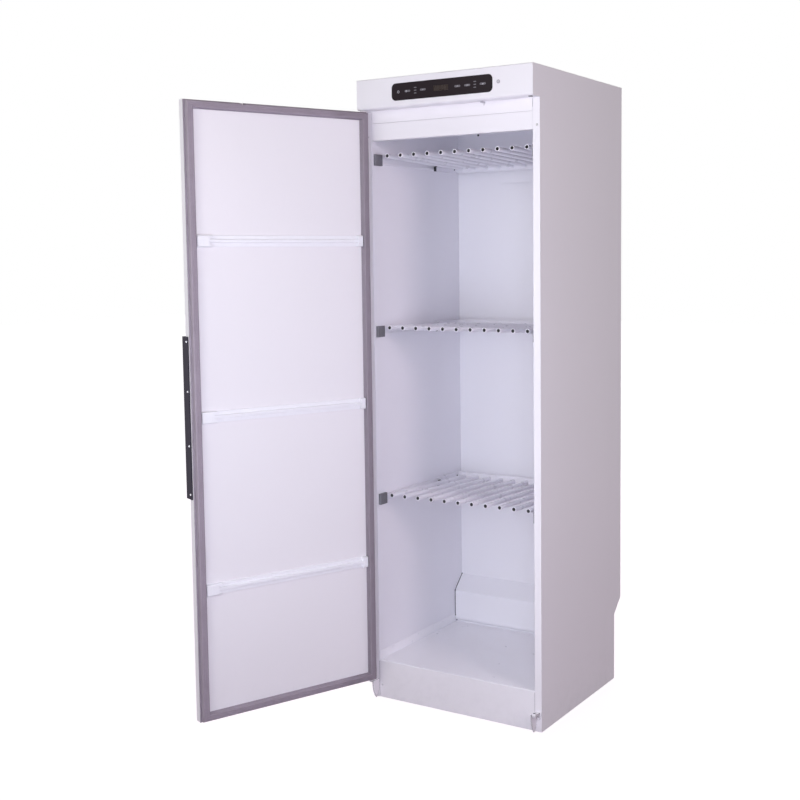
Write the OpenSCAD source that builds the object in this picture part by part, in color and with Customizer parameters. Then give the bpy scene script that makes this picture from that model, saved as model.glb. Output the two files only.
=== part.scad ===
// Drying cabinet with a hinged door, three pull-out hanging racks and an air unit in its head.
// Millimetres. Z is up from the floor, the front faces -Y, X runs to the right seen from the front.
// Inside the carcass every piece is drawn from the front plane of the side flanges (y = 0 there).

/* [Carcass] */
// width over the side panels
carcass_w = 595; // [560:1:640]
// height from the floor to the top panel
carcass_h = 1915; // [1900:5:1990]
// depth from the front flanges to the rear panel
carcass_d = 572; // [568:1:620]
// thickness of the outer sheet
sheet_t = 1; // [0.8:0.1:1.2]
// thickness of a side wall, and width of its front flange
wall_w = 22.5; // [21:0.5:30]
// depth of the step at the foot of the rear panel
recess_d = 50; // [40:1:52]
// height of the step at the foot of the rear panel
recess_h = 215; // [150:5:230]
// rise of the slope above that step
recess_rise = 46; // [30:1:60]

/* [Base] */
// height of the base channels
base_h = 40; // [32:1:60]
// width of the base channels
base_w = 30; // [26:1:36]
// radius of a foot pad
foot_r = 11; // [9:0.5:12]
// height of the plinth opening up to the floor of the drying space
floor_z = 118.7; // [100:0.1:130]

/* [Drying space] */
// gap between the back wall and the stepped foot of the rear panel
back_gap = 12; // [12:1:20]
// height of the head over the ceiling
head_h = 115; // [113:1:118]
// thickness of the insulation behind the back wall
back_board_t = 24; // [15:1:40]
// thickness of the inner sheet
liner_t = 1; // [0.8:0.1:1.2]
// how far the foot of the back wall stands forward
step_d = 48; // [40:1:52]
// height of the upper edge of that foot
step_z = 278; // [265:1:290]
// height of the tray's upturned sides
skirt_h = 29; // [22:1:36]
// radius of the rivet heads along the tray
rivet_r = 4; // [3:0.5:5]

/* [Head] */
// height of the fascia
fascia_h = 89; // [86:1:90]
// depth of the fascia in front of the flanges
fascia_out = 42; // [41:1:44]
// wall of the fascia
fascia_t = 2; // [1.5:0.1:2.5]
// radius of the fascia's lower front edge
fascia_r = 6; // [4:1:12]
// height of both header strips under the fascia
header_all = 89; // [80:1:96]
// height of the lower header strip
header_h = 52; // [46:1:58]

/* [Controls] */
// width of the control panel
panel_w = 341; // [320:1:360]
// height of the control panel
panel_h = 50; // [46:1:52]
// corner radius of the control panel
panel_r = 14; // [6:1:20]
// thickness of the control panel
panel_t = 1.5; // [1.2:0.1:1.8]
// width of the display window
display_w = 50; // [40:1:60]
// height of the display window
display_h = 15; // [10:1:20]
// radius of the round push button
button_r = 5.2; // [4:0.1:7]
// distance of the round push button from the control panel
button_gap = 18.9; // [14:0.1:24]
// travel of the round push button
button_travel = 1.5; // [1:0.1:2]

/* [Door] */
// opening angle of the door as drawn
door_open = 112.6; // [0:0.1:124]
// clearance between the door's side edges and the outer faces of the carcass
door_inset = 2; // [1:0.5:3]
// lower edge of the door
door_z = 65.5; // [64:0.5:70]
// thickness of the door leaf
door_t = 22; // [20:1:24]
// height of the gasket over the door's inner face
gasket_h = 19.2; // [18:0.2:19.4]
// width of the gasket
gasket_w = 21.5; // [20:0.5:23]
// distance of the gasket from the door's edge
gasket_in = 3.5; // [3.5:0.5:5]
// distance of the hinge axis from the door's hinge edge
hinge_in = 8; // [8:0.1:8.4]
// radius of the hinge pins
pin_r = 4; // [3.5:0.1:4.2]
// length of the hinge pins inside the door
pin_l = 20; // [15:1:30]

/* [Door fittings] */
// length of the handle
handle_l = 460; // [300:5:700]
// height of the middle of the handle
handle_z = 940; // [800:5:1100]
// thickness of the handle
handle_t = 3; // [2.5:0.1:3.5]
// reach of the handle in front of the door
handle_out = 22; // [20:1:32]
// length of the handle's lip across the door front
handle_lip = 28; // [20:1:40]
// height of the lowest glove bar
bar_z = 446; // [400:1:480]
// distance of the highest glove bar from the top of the door
bar_drop = 387; // [340:1:430]
// height of a glove bar
bar_h = 32; // [28:1:34]
// length of the glove bars' end caps on the free side of the door
cap_l = 46; // [30:1:50]

/* [Racks] */
// height of the lowest rack's slides
rack_z = 631.5; // [600:0.5:660]
// distance of the highest rack's slides from the header
rack_drop = 55.5; // [52:0.5:70]
// number of tubes in a rack
tube_n = 11; // [7:1:11]
// distance from one tube to the next
tube_pitch = 48; // [36:1:48]
// outer radius of a tube
tube_r = 7; // [5.5:0.1:7.5]
// wall of a tube
tube_wall = 2.4; // [1:0.1:2.8]
// distance of the tube ends from the front plane
tube_front = 31; // [20:1:45]
// rise of the tubes from the crossbar to their front ends
tube_rise = 12; // [0:1:16]
// height of the crossbar and of the slides
slide_h = 30; // [26:1:34]
// length of the slides on the crossbar
slide_l = 129; // [100:1:130]
// distance of the crossbar's front from the back wall
crossbar_gap = 35; // [28:1:45]

/* [Air unit] */
// radius of the fan wheel
wheel_r = 68; // [50:1:70]
// number of blades on the fan wheel
blade_n = 24; // [12:1:36]
// height of the fan housing
scroll_h = 58; // [50:1:62]
// radius of the exhaust spigot
spigot_r = 50; // [40:1:52]
// height of the exhaust spigot over the top panel
spigot_h = 40; // [30:1:60]
// width of the duct cover on the back wall
duct_w = 210; // [160:2:240]
// height of the duct cover under the ceiling
duct_h = 173; // [160:1:240]

/* [Hidden] */
$fn = 48;
seat = 0.2;      // gap where two pieces only lie side by side
free = 0.3;      // gap between pieces that move past each other
running = 0.05;  // radial gap of a shaft in its bore
fitted = 0.1;    // radial gap of a button in its hole
half_w = carcass_w / 2;
inner_w = half_w - wall_w;               // half width of the drying space
liner_x = inner_w + liner_t;             // outer face of the side liners
fascia_z = carcass_h - fascia_h;
header_z = fascia_z - header_all;
ceiling_z = carcass_h - head_h;
space_d = carcass_d - recess_d - back_gap;
panel_z = fascia_z + 44;                 // middle height of the controls
button_x = panel_w / 2 + button_gap;
door_top = fascia_z - 4;
door_half = half_w - door_inset;
door_h = door_top - door_z;
gasket_gap = 0.8;                        // from the closed gasket to the flanges
leaf_in = -gasket_gap - gasket_h;        // inner face of the door leaf
leaf_out = leaf_in - door_t;             // outer face of the door leaf
hinge_x = -door_half + hinge_in;
hinge_y = leaf_in - 7;
bush_r = pin_r + 1.5;
bracket_top = door_z - 6.5;              // upper face of the lower hinge plate
hinge_plate_t = 3;
bracket_w = 20;
eye_r = 7;                               // round eye of the lower plate
bracket_reach = -hinge_y + eye_r;
rib_t = 3;
tab_w = 10;                              // folded tab on the flange
tab_h = 18;
tab_t = 2;
tray_rivets = [76, 228, 380];            // rivets along the tray, from the front plane
screw_r = 1.6;                           // shank of the small screws
screw_head = 3.4;
screw_slack = 0.2;
lip = 14;                                // depth of the folded edges
back_y = space_d + liner_t;
cove_y = space_d - step_d;
cove_end = [cove_y + 23, floor_z + seat];
slide_x = inner_w - 0.8;                 // wall side of the slides
slide_w = 12.2;                          // width of a slide
slide_t = 2;
rack_pitch = (header_z - rack_drop - rack_z) / 2;
crossbar_y = space_d - crossbar_gap;
rail_h = slide_h - 2 * slide_t - 2 * free;
rail_w = 8;
clip_l = 36;
clip_y = 9;
clip_h = 34;
header_fold = 1.2;                       // radius of the lower header's folds
crossbar_t = 3;
fan_y = space_d - 275;
scroll_r = wheel_r + 17;                 // start of the scroll's spiral
scroll_grow = 62;                        // growth of the spiral in one turn
scroll_t = 1.5;
scroll_out = 110;                        // length of the scroll's outlet
motor_h = 28;
air_z = ceiling_z + liner_t;             // upper face of the ceiling
heater_y = fan_y + scroll_out;
heater_end = space_d - 8;
heater_x = scroll_r + scroll_grow + scroll_t;
duct_d = 12;
duct_z = ceiling_z - duct_h;
spigot_y = heater_end - spigot_r - 8;
spigot_t = 1.5;
button_z = panel_z + 1.7;
board_y = -fascia_out + fascia_t + 14;   // front of the control board
board_t = 1.6;
key_places = [-0.336, -0.179, 0.164, 0.26, 0.409];   // shares of the panel's width
light_places = [-0.257, 0.333];
power_place = -0.43;
display_depth = 14;
switch_x = 120;
peg_w = 5;
peg_h = 5;
peg_z = fascia_z - free - peg_h / 2;
peg_out = -leaf_in - 0.5;                // the closed door stops short of the free peg
handle_screws = [-216, -78, 76, 216];
fold_w = 18;                             // width of the door skin's folded-in edge
bar_t = 4.5;                             // thickness of a glove bar's flat sides
bar_nose = 5;                            // half height of its nose
bar_out = 11;                            // how far the nose stands out of the door
cap_out = 14;
bar_pitch = (door_top - bar_drop - bar_z) / 2;
bar_end = gasket_in + gasket_w + 2;      // ends of the caps from the door's edges
bar_in = 12;                             // how deep a bar starts inside its cap
short_cap = 16;                          // length of the caps on the hinge side

side_panel_left();
side_panel_right();
rear_panel();
top_panel();
base_frame();
levelling_feet();
kick_plate();
floor_tray();
tray_rivet_heads();  // tray_rivets
liner_left();
liner_right();
liner_back();
ceiling_panel();
insulation_sides();
insulation_back();
header_lower();
header_upper();
fascia();
control_panel();
display_window();
key_marks();
control_board();
button_switch();
round_button();
door_switch();
switch_plunger();
hinge_bracket_lower();
hinge_plate_upper();
spare_bracket();
spare_cap();
wall_rails();
rail_clips();
fan_housing();
fan_motor();
fan_wheel();
heater_duct();
heating_element();
duct_cover();
exhaust_spigot();
humidity_sensor();
cable_gland();
cabinet_screws();
door_skin();
door_inner_panel();
door_core();
door_gasket();
hinge_bushes();
door_handle();
handle_screw_set();  // handle_screws
glove_bars();
glove_bar_caps();
rack_tubes(2);  // rack_top_tubes
rack_frame(2);  // rack_top_frame
rack_tubes(1);  // rack_middle_tubes
rack_frame(1);  // rack_middle_frame
rack_tubes(0);  // rack_bottom_tubes
rack_frame(0);  // rack_bottom_frame
rack_screws(2);  // rack_screws_top
rack_screws(1);  // rack_screws_middle
rack_screws(0);  // rack_screws_bottom

// ---- helpers ----

module on_front() translate([0, -carcass_d / 2, 0]) children();

// the door's pieces are drawn closed and swung open together
module on_door() on_front() translate([hinge_x, hinge_y, 0]) rotate(-door_open)
    translate([-hinge_x, -hinge_y, 0]) children();

module both_sides() {
    children();
    mirror([1, 0, 0]) children();
}

module slab(low, high) translate(low) cube(high - low);

// a profile given in depth and height, run from x0 to x1
module run_x(x0, x1) translate([x0, 0, 0]) rotate([90, 0, 90]) linear_extrude(x1 - x0) children();

function unit(v) = v / norm(v);
function side_of(a, b) = let (d = unit(b - a)) [-d[1], d[0]];
function shifted(p, i, t) =
    i == 0 ? p[0] + t * side_of(p[0], p[1]) :
    i == len(p) - 1 ? p[i] + t * side_of(p[i - 1], p[i]) :
    let (m = side_of(p[i - 1], p[i]), n = side_of(p[i], p[i + 1])) p[i] + t * (m + n) / (1 + m * n);

// sheet of thickness t folded along the line p, laid on its left side
module folded(p, t) polygon(concat(p, [for (i = [len(p) - 1:-1:0]) shifted(p, i, t)]));

function ray(a) = [cos(a), sin(a)];
function arc(c, r, a0, a1, n) = [for (i = [0:n]) c + r * ray(a0 + (a1 - a0) * i / n)];

module rounded(w, h, r) {
    square([w, h - 2 * r], center = true);
    square([w - 2 * r, h], center = true);
    for (x = [-1, 1], y = [-1, 1]) translate([x * (w / 2 - r), y * (h / 2 - r)]) circle(r);
}

// a small cross-slotted screw, its head on z = 0 and its shank below
module screw(length) {
    difference() {
        cylinder(h = 1.8, r1 = screw_head, r2 = screw_head * 0.72);
        for (a = [0, 90]) rotate(a) translate([-2, -0.4, 0.7]) cube([4, 0.8, 2]);
    }
    translate([0, 0, -length]) cylinder(h = length, r = screw_r);
}
module screw_hole(length) translate([0, 0, -length - 1])
    cylinder(h = length + 2, r = screw_r + screw_slack);

// ---- outer carcass ----

module side_panel() {
    run_x(-half_w, -half_w + sheet_t) polygon([[0, 0], [carcass_d - recess_d, 0],
        [carcass_d - recess_d, recess_h], [carcass_d, recess_h + recess_rise],
        [carcass_d, carcass_h - sheet_t], [0, carcass_h - sheet_t]]);
    slab([-half_w, 0, 0], [-liner_x, sheet_t, carcass_h - sheet_t]);
    slab([-liner_x - sheet_t, 0, base_h + seat], [-liner_x, lip, carcass_h - sheet_t]);
    slab([-half_w, carcass_d - 2 * sheet_t, recess_h + recess_rise + 2],
        [-half_w + lip, carcass_d - sheet_t, carcass_h - sheet_t]);
}

module side_panel_left() color("white") on_front() side_panel_drilled();

module side_panel_right() color("white") on_front() mirror([1, 0, 0]) side_panel_drilled();

module side_panel_drilled() difference() {
    side_panel();
    flange_screws() cylinder(h = 8, r = screw_head + screw_slack, center = true);
}

// one screw in the flange beside the header, its head set in nearly flush
module flange_screws() translate([-half_w + 9, 1.4, header_z + 13]) rotate([90, 0, 0]) children();

module rear_panel() color("white") on_front() difference() {
    run_x(-half_w + sheet_t, half_w - sheet_t) folded([[carcass_d - recess_d, 0],
        [carcass_d - recess_d, recess_h], [carcass_d, recess_h + recess_rise],
        [carcass_d, carcass_h - sheet_t]], sheet_t);
    // air slots into the head
    for (x = [-1, 1], i = [0:5]) translate([x * 170, carcass_d, carcass_h - 88 + i * 12])
        cube([150, 6 * sheet_t, 5], center = true);
}

module top_panel() color("white") on_front() difference() {
    union() {
        slab([-half_w, 0, carcass_h - sheet_t], [half_w, carcass_d, carcass_h]);
        both_sides() slab([-half_w + sheet_t, lip + 1, carcass_h - lip - 1],
            [-half_w + 2 * sheet_t, carcass_d - 2 * sheet_t - seat, carcass_h - sheet_t / 2]);
    }
    translate([0, spigot_y, carcass_h - 5]) cylinder(h = 10, r = spigot_r + seat);
    gland_place() cylinder(h = 10, r = 10 + seat, center = true);
}

module gland_place() translate([210, carcass_d - 60, carcass_h]) children();

// a channel ring, open upwards, with pads for the feet
module base_frame() color("silver") on_front() difference() {
    union() {
        difference() {
            ring_box(0, base_h);
            base_hollow(1.5, 1.5);
        }
        feet_places() translate([0, 0, base_h - 12]) cylinder(h = 3, r = base_w / 2 - 1);
        feet_places() translate([0, 0, 1]) difference() {
            cylinder(h = base_h - 12, r = foot_r + 3);
            translate([0, 0, -1]) cylinder(h = base_h, r = foot_r + 1);
        }
    }
    feet_places() translate([0, 0, -1]) cylinder(h = 20, r = foot_r + 1);
    feet_places() translate([0, 0, -1]) cylinder(h = base_h + 2, r = 4 + seat);
}
base_front = sheet_t + lip + seat;
base_back = carcass_d - recess_d - sheet_t - seat;
base_x = half_w - sheet_t - seat;
module ring_box(z0, z1) difference() {
    slab([-base_x, base_front, z0], [base_x, base_back, z1]);
    slab([-base_x + base_w, base_front + base_w, z0 - 1], [base_x - base_w, base_back - base_w, z1 + 1]);
}
module base_hollow(t, z0) difference() {
    slab([-base_x + t, base_front + t, z0], [base_x - t, base_back - t, base_h + 1]);
    slab([-base_x + base_w - t, base_front + base_w - t, z0 - 1],
        [base_x - base_w + t, base_back - base_w + t, base_h + 2]);
}
module feet_places() for (x = [-1, 1], y = [base_front + base_w / 2, base_back - base_w / 2])
    translate([x * (base_x - base_w / 2), y, 0]) children();

module levelling_feet() color("dimgray") on_front() feet_places() {
    cylinder(h = 5, r1 = foot_r - 1, r2 = foot_r);
    translate([0, 0, 5]) cylinder(h = 4, r = foot_r);
    translate([0, 0, 9]) cylinder(h = 5, r = 6.5, $fn = 6);
    translate([0, 0, 14]) cylinder(h = base_h - 12, r = 4);
}

module kick_plate() color("white") on_front() difference() {
    run_x(-inner_w + seat, inner_w - seat) folded([[lip, floor_z - liner_t - free],
        [0, floor_z - liner_t - free], [0, 1], [lip, 1]], sheet_t);
    kick_screws() screw_hole(8);
}

module kick_screws() for (x = [-1, 1]) translate([x * (inner_w - 10), 0, 41]) rotate([90, 0, 0]) children();

// ---- drying space ----

module floor_tray() color("white") on_front() difference() {
    union() {
        slab([-inner_w, 3, floor_z - liner_t], [inner_w, cove_end[0] + 6, floor_z]);
        // rolled front edge
        translate([0, 3, floor_z - liner_t]) rotate([0, 90, 0]) difference() {
            cylinder(h = 2 * inner_w, r = 3, center = true);
            translate([4, 0, 0]) cube([8, 8, 2 * inner_w + 2], center = true);
        }
        both_sides() slab([-inner_w, 3, floor_z - liner_t],
            [-inner_w + liner_t, cove_y - seat, floor_z + skirt_h]);
        slab([-inner_w, cove_end[0] + 5, floor_z - liner_t], [inner_w, cove_end[0] + 6, floor_z + 20]);
    }
    rivet_places() screw_hole(6);
}

module rivet_places() for (y = tray_rivets) both_sides()
    translate([-inner_w + liner_t, y, floor_z + skirt_h - 7]) rotate([0, 90, 0]) children();

module tray_rivet_heads() color("white") on_front() rivet_places() {
    intersection() {
        translate([0, 0, 2 - 2 * rivet_r]) sphere(2 * rivet_r);
        cylinder(h = 3, r = rivet_r);
    }
    translate([0, 0, -2 * liner_t]) cylinder(h = 2 * liner_t + 0.1, r = screw_r);
}

module liner_side() difference() {
    slab([-liner_x, 0, base_h + seat], [-inner_w, back_y, ceiling_z]);
    rivet_places() screw_hole(6);
}

module liner_left() color("whitesmoke") on_front() liner_side();

module liner_right() color("whitesmoke") on_front() mirror([1, 0, 0]) liner_side();

back_line = concat([[space_d, ceiling_z], [space_d, step_z], [cove_y, step_z - step_d]],
    [[cove_y, floor_z + 26]], arc([cove_y + 18, floor_z + 20], 18, 180, 250, 5), [cove_end]);

module liner_back() color("whitesmoke") on_front() difference() {
    run_x(-inner_w + seat, inner_w - seat) folded(back_line, liner_t);
    sensor_place() cylinder(h = 20, r = 3 + seat, center = true);
}

module ceiling_panel() color("whitesmoke") on_front() difference() {
    slab([-inner_w + seat, sheet_t + seat, ceiling_z], [inner_w - seat, space_d - seat, air_z]);
    for (i = [-4:4]) translate([i * 11, fan_y, ceiling_z])
        cube([6, 2 * sqrt(50 * 50 - pow(i * 11, 2)), 8], center = true);
    slab([-duct_w / 2 + 10, space_d - duct_d + 1, ceiling_z - 1],
        [duct_w / 2 - 10, space_d - 2, air_z + 1]);
}

module insulation_sides() color("khaki") on_front() both_sides()
    slab([-half_w + sheet_t + seat, lip + seat, base_h + 2], [-liner_x - seat, space_d - 2, ceiling_z - 2]);

module insulation_back() color("khaki") on_front() difference() {
    slab([-inner_w, back_y + seat, step_z + 8], [inner_w, back_y + back_board_t, ceiling_z - 2]);
    sensor_place() cylinder(h = 80, r = 12, center = true);
}

// ---- head ----

module header_lower() color("white") on_front() run_x(-inner_w + seat, inner_w - seat)
    folded(concat([[20, header_z]], arc([3, header_z + 3], 3, 270, 180, 4),
        arc([header_fold, header_z + header_h - header_fold - seat], header_fold, 180, 90, 3),
        [[lip, header_z + header_h - seat]]), -sheet_t);

module header_upper() color("white") on_front() difference() {
    run_x(-inner_w + seat, inner_w - seat) folded([[lip - 4, header_z + header_h], [0, header_z + header_h],
        [0, fascia_z + 16], [lip, fascia_z + 16]], -sheet_t);
    translate([switch_x, 0, peg_z]) cube([peg_w + 2 * free, 30, peg_h + 2 * free], center = true);
}

fascia_line = concat([[0, carcass_h]], arc([3 - fascia_out, carcass_h - 3], 3, 90, 180, 3),
    arc([fascia_r - fascia_out, fascia_z + fascia_r], fascia_r, 180, 270, 6), [[0, fascia_z]]);

module fascia() color("white") on_front() difference() {
    union() {
        run_x(-half_w, half_w) folded(fascia_line, fascia_t);
        both_sides() run_x(-half_w, -half_w + fascia_t) polygon(fascia_line);
        // bosses for the control board
        board_posts() cylinder(h = 14, r = 3.5);
    }
    // seat of the control panel, and the display opening behind it
    panel_place() translate([0, 0, -1]) linear_extrude(4)
        rounded(panel_w + 2 * seat, panel_h + 2 * seat, panel_r + seat);
    panel_place() cube([display_w + 4, display_h + 4, 20], center = true);
    button_place() cylinder(h = 20, r = button_r + fitted, center = true);
    board_posts() translate([0, 0, 4]) cylinder(h = 14, r = screw_r);
    // slots for the hinge plate, and for the other hand
    slab([-half_w + fascia_t, -3 - free, fascia_z - 1], [-half_w + bracket_w + 2, 1, fascia_z + 5]);
    slab([half_w - 20, -fascia_out + fascia_r + 3, fascia_z - 1], [half_w - 8, hinge_y + 7, fascia_z + 5]);
}

// faces of the controls, looking out of the fascia
module panel_place() translate([0, -fascia_out, panel_z]) rotate([90, 0, 0]) children();
module button_place() translate([button_x, -fascia_out, button_z]) rotate([90, 0, 0]) children();
module board_posts() for (x = [-150, -50, 50, 150], z = [-1, 1])
    translate([x, -fascia_out + fascia_t, panel_z + z * 18]) rotate([-90, 0, 0]) children();

module control_panel() color("black") on_front() difference() {
    panel_place() translate([0, 0, -1]) linear_extrude(panel_t) rounded(panel_w, panel_h, panel_r);
    panel_place() cube([display_w + 2 * seat, display_h + 2 * seat, 20], center = true);
}

module display_window() color("saddlebrown") on_front() panel_place() {
    translate([-display_w / 2, -display_h / 2, -1]) cube([display_w, display_h, panel_t - 0.1]);
    translate([-display_w / 2 - 1, -display_h / 2 - 1, -display_depth - fascia_t])
        cube([display_w + 2, display_h + 2, display_depth + fascia_t - 1]);
}

// flat touch keys and status lights on the control panel
module key_marks() color("lightgray") on_front() panel_place() translate([0, 0, panel_t - 1]) {
    for (x = key_places) translate([x * panel_w, 0]) linear_extrude(0.2) rounded(20, 6, 2.99);
    for (x = light_places, z = [-8, 0, 8]) translate([x * panel_w, z]) linear_extrude(0.2)
        rounded(9, 3, 1.49);
    translate([power_place * panel_w, 0]) linear_extrude(0.2) difference() {
        circle(4.5);
        circle(3);
    }
}

module control_board() color("darkgreen") on_front() difference() {
    union() {
        slab([-panel_w / 2 + 4, board_y, panel_z - 22], [button_x + 12, board_y + board_t, panel_z + 22]);
        // transformer, relays and capacitors
        slab([-panel_w / 3, board_y + board_t, panel_z - 16], [-panel_w / 4, -1, panel_z + 16]);
        for (x = [-0.2, -0.13, 0.03]) slab([x * panel_w, board_y + board_t, panel_z - 14],
            [x * panel_w + 18, -8, panel_z + 12]);
        for (x = [0.2, 0.26, 0.5]) translate([x * panel_w, board_y + board_t - 0.1, panel_z + 4])
            rotate([-90, 0, 0]) cylinder(h = 15, r = 6.5);
    }
    board_posts() cylinder(h = 30, r = screw_r + screw_slack);
}

// the push button's own switch on the board
module button_switch() color("gray") on_front() {
    translate([button_x, board_y - 3, button_z]) cube([12, 6, 12], center = true);
    translate([button_x, board_y - 6, button_z]) rotate([90, 0, 0]) cylinder(h = 1, r = 3);
}

// cap through the fascia, with a collar behind it and a stem to the switch
module round_button() color("gainsboro") on_front() button_place() {
    translate([0, 0, -fascia_t - free]) cylinder(h = fascia_t + free + 1.4, r = button_r);
    translate([0, 0, 1.4]) cylinder(h = 0.8, r1 = button_r, r2 = button_r - 0.8);
    translate([0, 0, -fascia_t - free - 1.5]) cylinder(h = 1.5, r = button_r + 2);
    translate([0, 0, -fascia_t - 7 + button_travel + free])
        cylinder(h = 7 - button_travel - 2 * free, r = 2.5);
}

// door switch behind the upper header, with a sprung peg through it
module door_switch() color("dimgray") on_front() difference() {
    slab([switch_x - 9, sheet_t, peg_z - 9], [switch_x + 9, sheet_t + 34, peg_z + 9]);
    translate([switch_x, 10, peg_z]) cube([peg_w + 2 * free, 40, peg_h + 2 * free], center = true);
}

module switch_plunger() color("white") on_front() translate([0, 0, peg_z]) {
    run_x(switch_x - peg_w / 2, switch_x + peg_w / 2) polygon([[20, -peg_h / 2], [20, peg_h / 2],
        [2 - peg_out, peg_h / 2], [-peg_out, 1], [-peg_out, -1], [2 - peg_out, -peg_h / 2]]);
}

module bracket_plate(t) linear_extrude(t) {
    translate([hinge_x, hinge_y]) circle(bracket_w / 2);
    translate([hinge_x - bracket_w / 2, hinge_y]) square([bracket_w, -hinge_y]);
}

// lower bearing: a plate with a round eye, a hooked rib folded down along its inner edge,
// and a tab folded down on the flange
module hinge_bracket() {
    translate([hinge_x, 0, bracket_top - hinge_plate_t]) linear_extrude(hinge_plate_t) {
        translate([0, hinge_y]) circle(eye_r);
        translate([-tab_w / 2, hinge_y]) square([tab_w, -hinge_y]);
        translate([0, hinge_y - 5]) square([eye_r + rib_t, 5 - hinge_y]);
    }
    slab([hinge_x - tab_w / 2, -tab_t, bracket_top - tab_h], [hinge_x + tab_w / 2, 0, bracket_top]);
    translate([hinge_x, 0, bracket_top - tab_h]) rotate([90, 0, 0]) cylinder(h = tab_t, r = tab_w / 2);
    run_x(hinge_x + eye_r, hinge_x + eye_r + rib_t) polygon([[0, 20], [0, bracket_top - 1],
        [1 - bracket_reach, bracket_top - 1], [1 - bracket_reach, bracket_top - 16],
        [3 - bracket_reach, bracket_top - 27], [7 - bracket_reach, bracket_top - 38],
        [14 - bracket_reach, bracket_top - 49], [18 - bracket_reach, 3], [-12, 3], [-9, 11]]);
}

module hinge_bracket_lower() color("white") on_front() {
    difference() {
        hinge_bracket();
        bracket_screws() screw_hole(8);
    }
    translate([hinge_x, hinge_y, bracket_top - 1]) cylinder(h = door_z - bracket_top + pin_l, r = pin_r);
    translate([hinge_x, hinge_y, bracket_top - 1]) cylinder(h = 5, r = bush_r + 1.5);
}

module bracket_screws() translate([hinge_x, -tab_t, bracket_top - tab_h + 5]) rotate([90, 0, 0]) children();

module spare_bracket() color("white") on_front() mirror([1, 0, 0]) difference() {
    hinge_bracket();
    bracket_screws() screw_hole(8);
    translate([hinge_x, hinge_y, bracket_top - 10]) cylinder(h = 20, r = pin_r);
}

// open bush in the spare bracket's bore
module spare_cap() color("white") on_front() mirror([1, 0, 0]) translate([hinge_x, hinge_y, bracket_top])
    difference() {
        union() {
            cylinder(h = 5, r = eye_r - 0.5);
            translate([0, 0, 5]) cylinder(h = 0.8, r1 = eye_r - 0.5, r2 = eye_r - 1.2);
            translate([0, 0, -hinge_plate_t - 2]) cylinder(h = hinge_plate_t + 2.5, r = pin_r - running);
        }
        translate([0, 0, -hinge_plate_t]) cylinder(h = 20, r = pin_r - 1);
    }

module hinge_plate_upper() color("silver") on_front() {
    translate([0, 0, fascia_z - hinge_plate_t - free]) bracket_plate(hinge_plate_t);
    slab([hinge_x - bracket_w / 2 + 2.5, -3, fascia_z - hinge_plate_t - free],
        [hinge_x + bracket_w / 2, 0, fascia_z + 30]);
    translate([hinge_x, hinge_y, door_top - pin_l]) cylinder(h = pin_l + 2, r = pin_r);
}

module cabinet_screws() color("silver") on_front() {
    both_sides() flange_screws() screw(6);
    kick_screws() screw(6);
    both_sides() bracket_screws() screw(tab_t - 0.1);
}

// ---- fittings in the drying space ----

function rack_height(i) = rack_z + i * rack_pitch;

module wall_rails() color("white") on_front() both_sides() for (i = [0:2]) difference() {
    slab([-inner_w, clip_y + clip_l + seat, rack_height(i) - rail_h / 2],
        [-inner_w + rail_w, space_d - 10, rack_height(i) + rail_h / 2]);
    // groove along the rail
    slab([-inner_w + rail_w - 2.5, clip_y, rack_height(i) - 6],
        [-inner_w + rail_w + 1, space_d, rack_height(i) + 6]);
}

// moulded stops in front of the rails, with a rounded nose and a groove down the side
module rail_clips() color("gray") on_front() both_sides() for (i = [0:2])
    translate([-inner_w, clip_y, rack_height(i)]) linear_extrude(clip_h, center = true) difference() {
        union() {
            translate([0, rail_w / 2]) square([rail_w, clip_l - rail_w / 2]);
            square([rail_w / 2, clip_l]);
            translate([rail_w / 2, rail_w / 2]) circle(rail_w / 2);
        }
        translate([rail_w + 1, clip_l / 3]) circle(2);
    }

module rack_tubes(i) color("white") on_front() {
    tilt = atan(tube_rise / (crossbar_y - tube_front));
    difference() {
        for (k = [0:tube_n - 1])
            translate([(k - (tube_n - 1) / 2) * tube_pitch, crossbar_y, rack_height(i)])
            rotate([90 - tilt, 0, 0]) translate([0, 0, -5]) difference() {
                cylinder(h = 5 + norm([crossbar_y - tube_front, tube_rise]), r = tube_r);
                translate([0, 0, -1]) cylinder(h = 10 + carcass_d, r = tube_r - tube_wall);
            }
        slab([-inner_w, crossbar_y, rack_height(i) - 40], [inner_w, crossbar_y + 20, rack_height(i) + 40]);
    }
}

// crossbar with folded edges, and a channel slide at each end
module rack_frame(i) color("white") on_front() translate([0, 0, rack_height(i)]) difference() {
    union() {
        run_x(-slide_x + rail_w + free + 1, slide_x - rail_w - free - 1) {
            translate([crossbar_y, -slide_h / 2]) square([crossbar_t, slide_h]);
            for (z = [-1, 1]) translate([crossbar_y + crossbar_t + 2, z * (slide_h / 2 - 1)])
                square([6, 2], center = true);
        }
        both_sides() translate([-slide_x, crossbar_y - slide_l, 0]) rotate([-90, 0, 0])
            linear_extrude(slide_l + 0.1) difference() {
                translate([0, -slide_h / 2]) square([slide_w, slide_h]);
                translate([-1, -slide_h / 2 + slide_t])
                    square([slide_w - slide_t + 1, slide_h - 2 * slide_t]);
            }
        // corner fittings between slide and crossbar
        both_sides() translate([-slide_x + slide_w, crossbar_y, 0]) linear_extrude(20, center = true)
            polygon([[0, 0], [11, 0], [11, -3], [3, -9], [3, -22], [0, -22]]);
    }
    rack_screw_places() screw_hole(3);
}

module rack_screw_places() for (z = [-5, 5]) both_sides()
    translate([-slide_x + slide_w + 3, crossbar_y - 17, z]) rotate([0, 90, 0]) children();

module rack_screws(i) color("dimgray") on_front() translate([0, 0, rack_height(i)]) rack_screw_places() {
    cylinder(h = 1.4, r1 = 2.6, r2 = 2);
    translate([0, 0, -3.4]) cylinder(h = 3.5, r = screw_r);
}

// ---- air unit ----

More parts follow.
